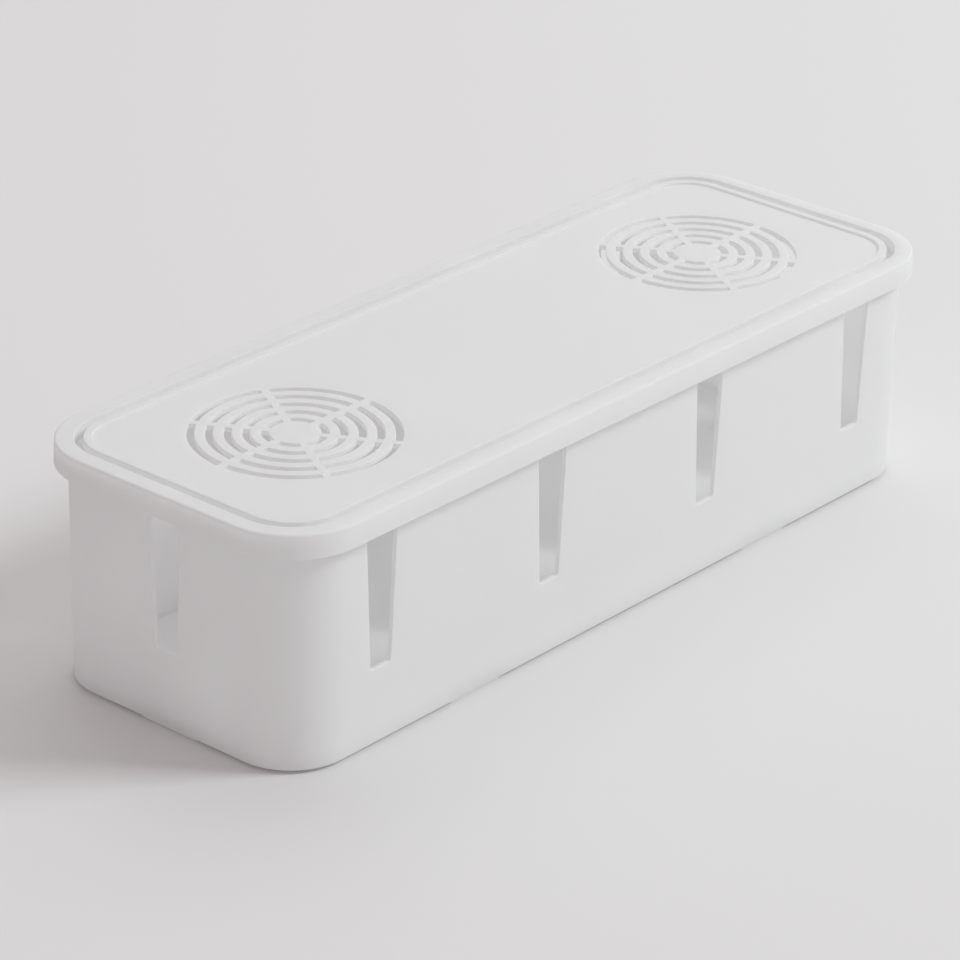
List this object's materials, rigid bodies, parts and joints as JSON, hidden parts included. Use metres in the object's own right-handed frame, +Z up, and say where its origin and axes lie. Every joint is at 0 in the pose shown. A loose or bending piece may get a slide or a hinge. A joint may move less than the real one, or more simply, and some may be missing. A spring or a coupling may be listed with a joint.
{
  "type": "cable management box",
  "caption": "Long white box with rounded corners that hides a socket strip; the lift-off lid has round vent grilles, and tapered slots in the walls let the leads out.",
  "frame": {"origin": "middle of the footprint, on the table that the foot pads stand on", "axes": "+Z up and along the lid's lift; +X along the box's length, to the right for someone facing the front long wall; +Y from the front long wall to the back one"},
  "size_m": [0.4, 0.1436, 0.102],
  "materials": {
    "tub_plastic": "white semi-matt moulded polypropylene",
    "lid_plastic": "white semi-matt moulded polypropylene",
    "foot_pad": "white soft non-slip pad"
  },
  "bodies": {
    "tub": {"tub": "tub_plastic", "foot_front_left": "foot_pad", "foot_front_right": "foot_pad", "foot_back_left": "foot_pad", "foot_back_right": "foot_pad", "foot_left_end": "foot_pad", "foot_right_end": "foot_pad"},
    "lid": {"lid": "lid_plastic"}
  },
  "joints": [
    {"name": "lid_lift", "type": "slide", "parent": "tub", "child": "lid", "axis": [0, 0, 1], "range_m": [0, 0.12]}
  ]
}
